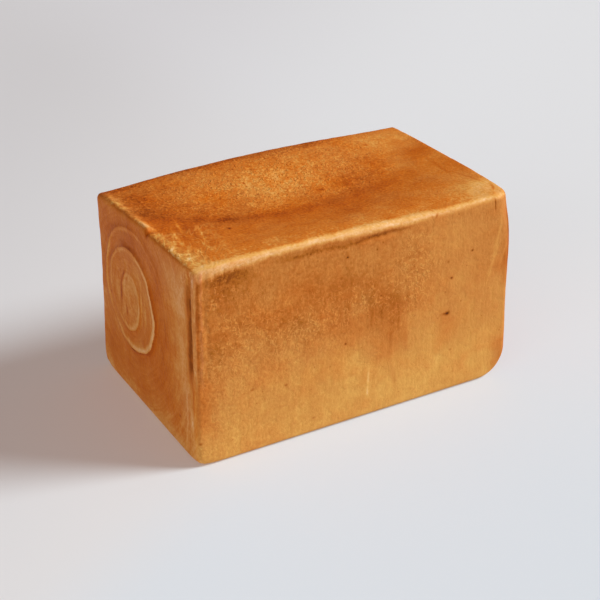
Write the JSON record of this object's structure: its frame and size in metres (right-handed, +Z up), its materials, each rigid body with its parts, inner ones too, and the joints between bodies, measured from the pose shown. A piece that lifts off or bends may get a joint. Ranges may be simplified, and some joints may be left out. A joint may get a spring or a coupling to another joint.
{
  "type": "tin loaf",
  "caption": "Whole square tin loaf with a browned crust: a tapered box with a shallow sunken top, soft edges and a rolled-dough swirl on each end.",
  "frame": {"origin": "centre of the loaf's bounding box at the base it rests on", "axes": "+X along the length towards the rounded heel end, -Y is the long front side, +Z up"},
  "size_m": [0.2054, 0.128, 0.1173],
  "materials": {
    "crust": "baked bread crust, golden brown, slightly satin, finely pored"
  },
  "bodies": {
    "root": {"loaf": "crust"}
  },
  "joints": []
}
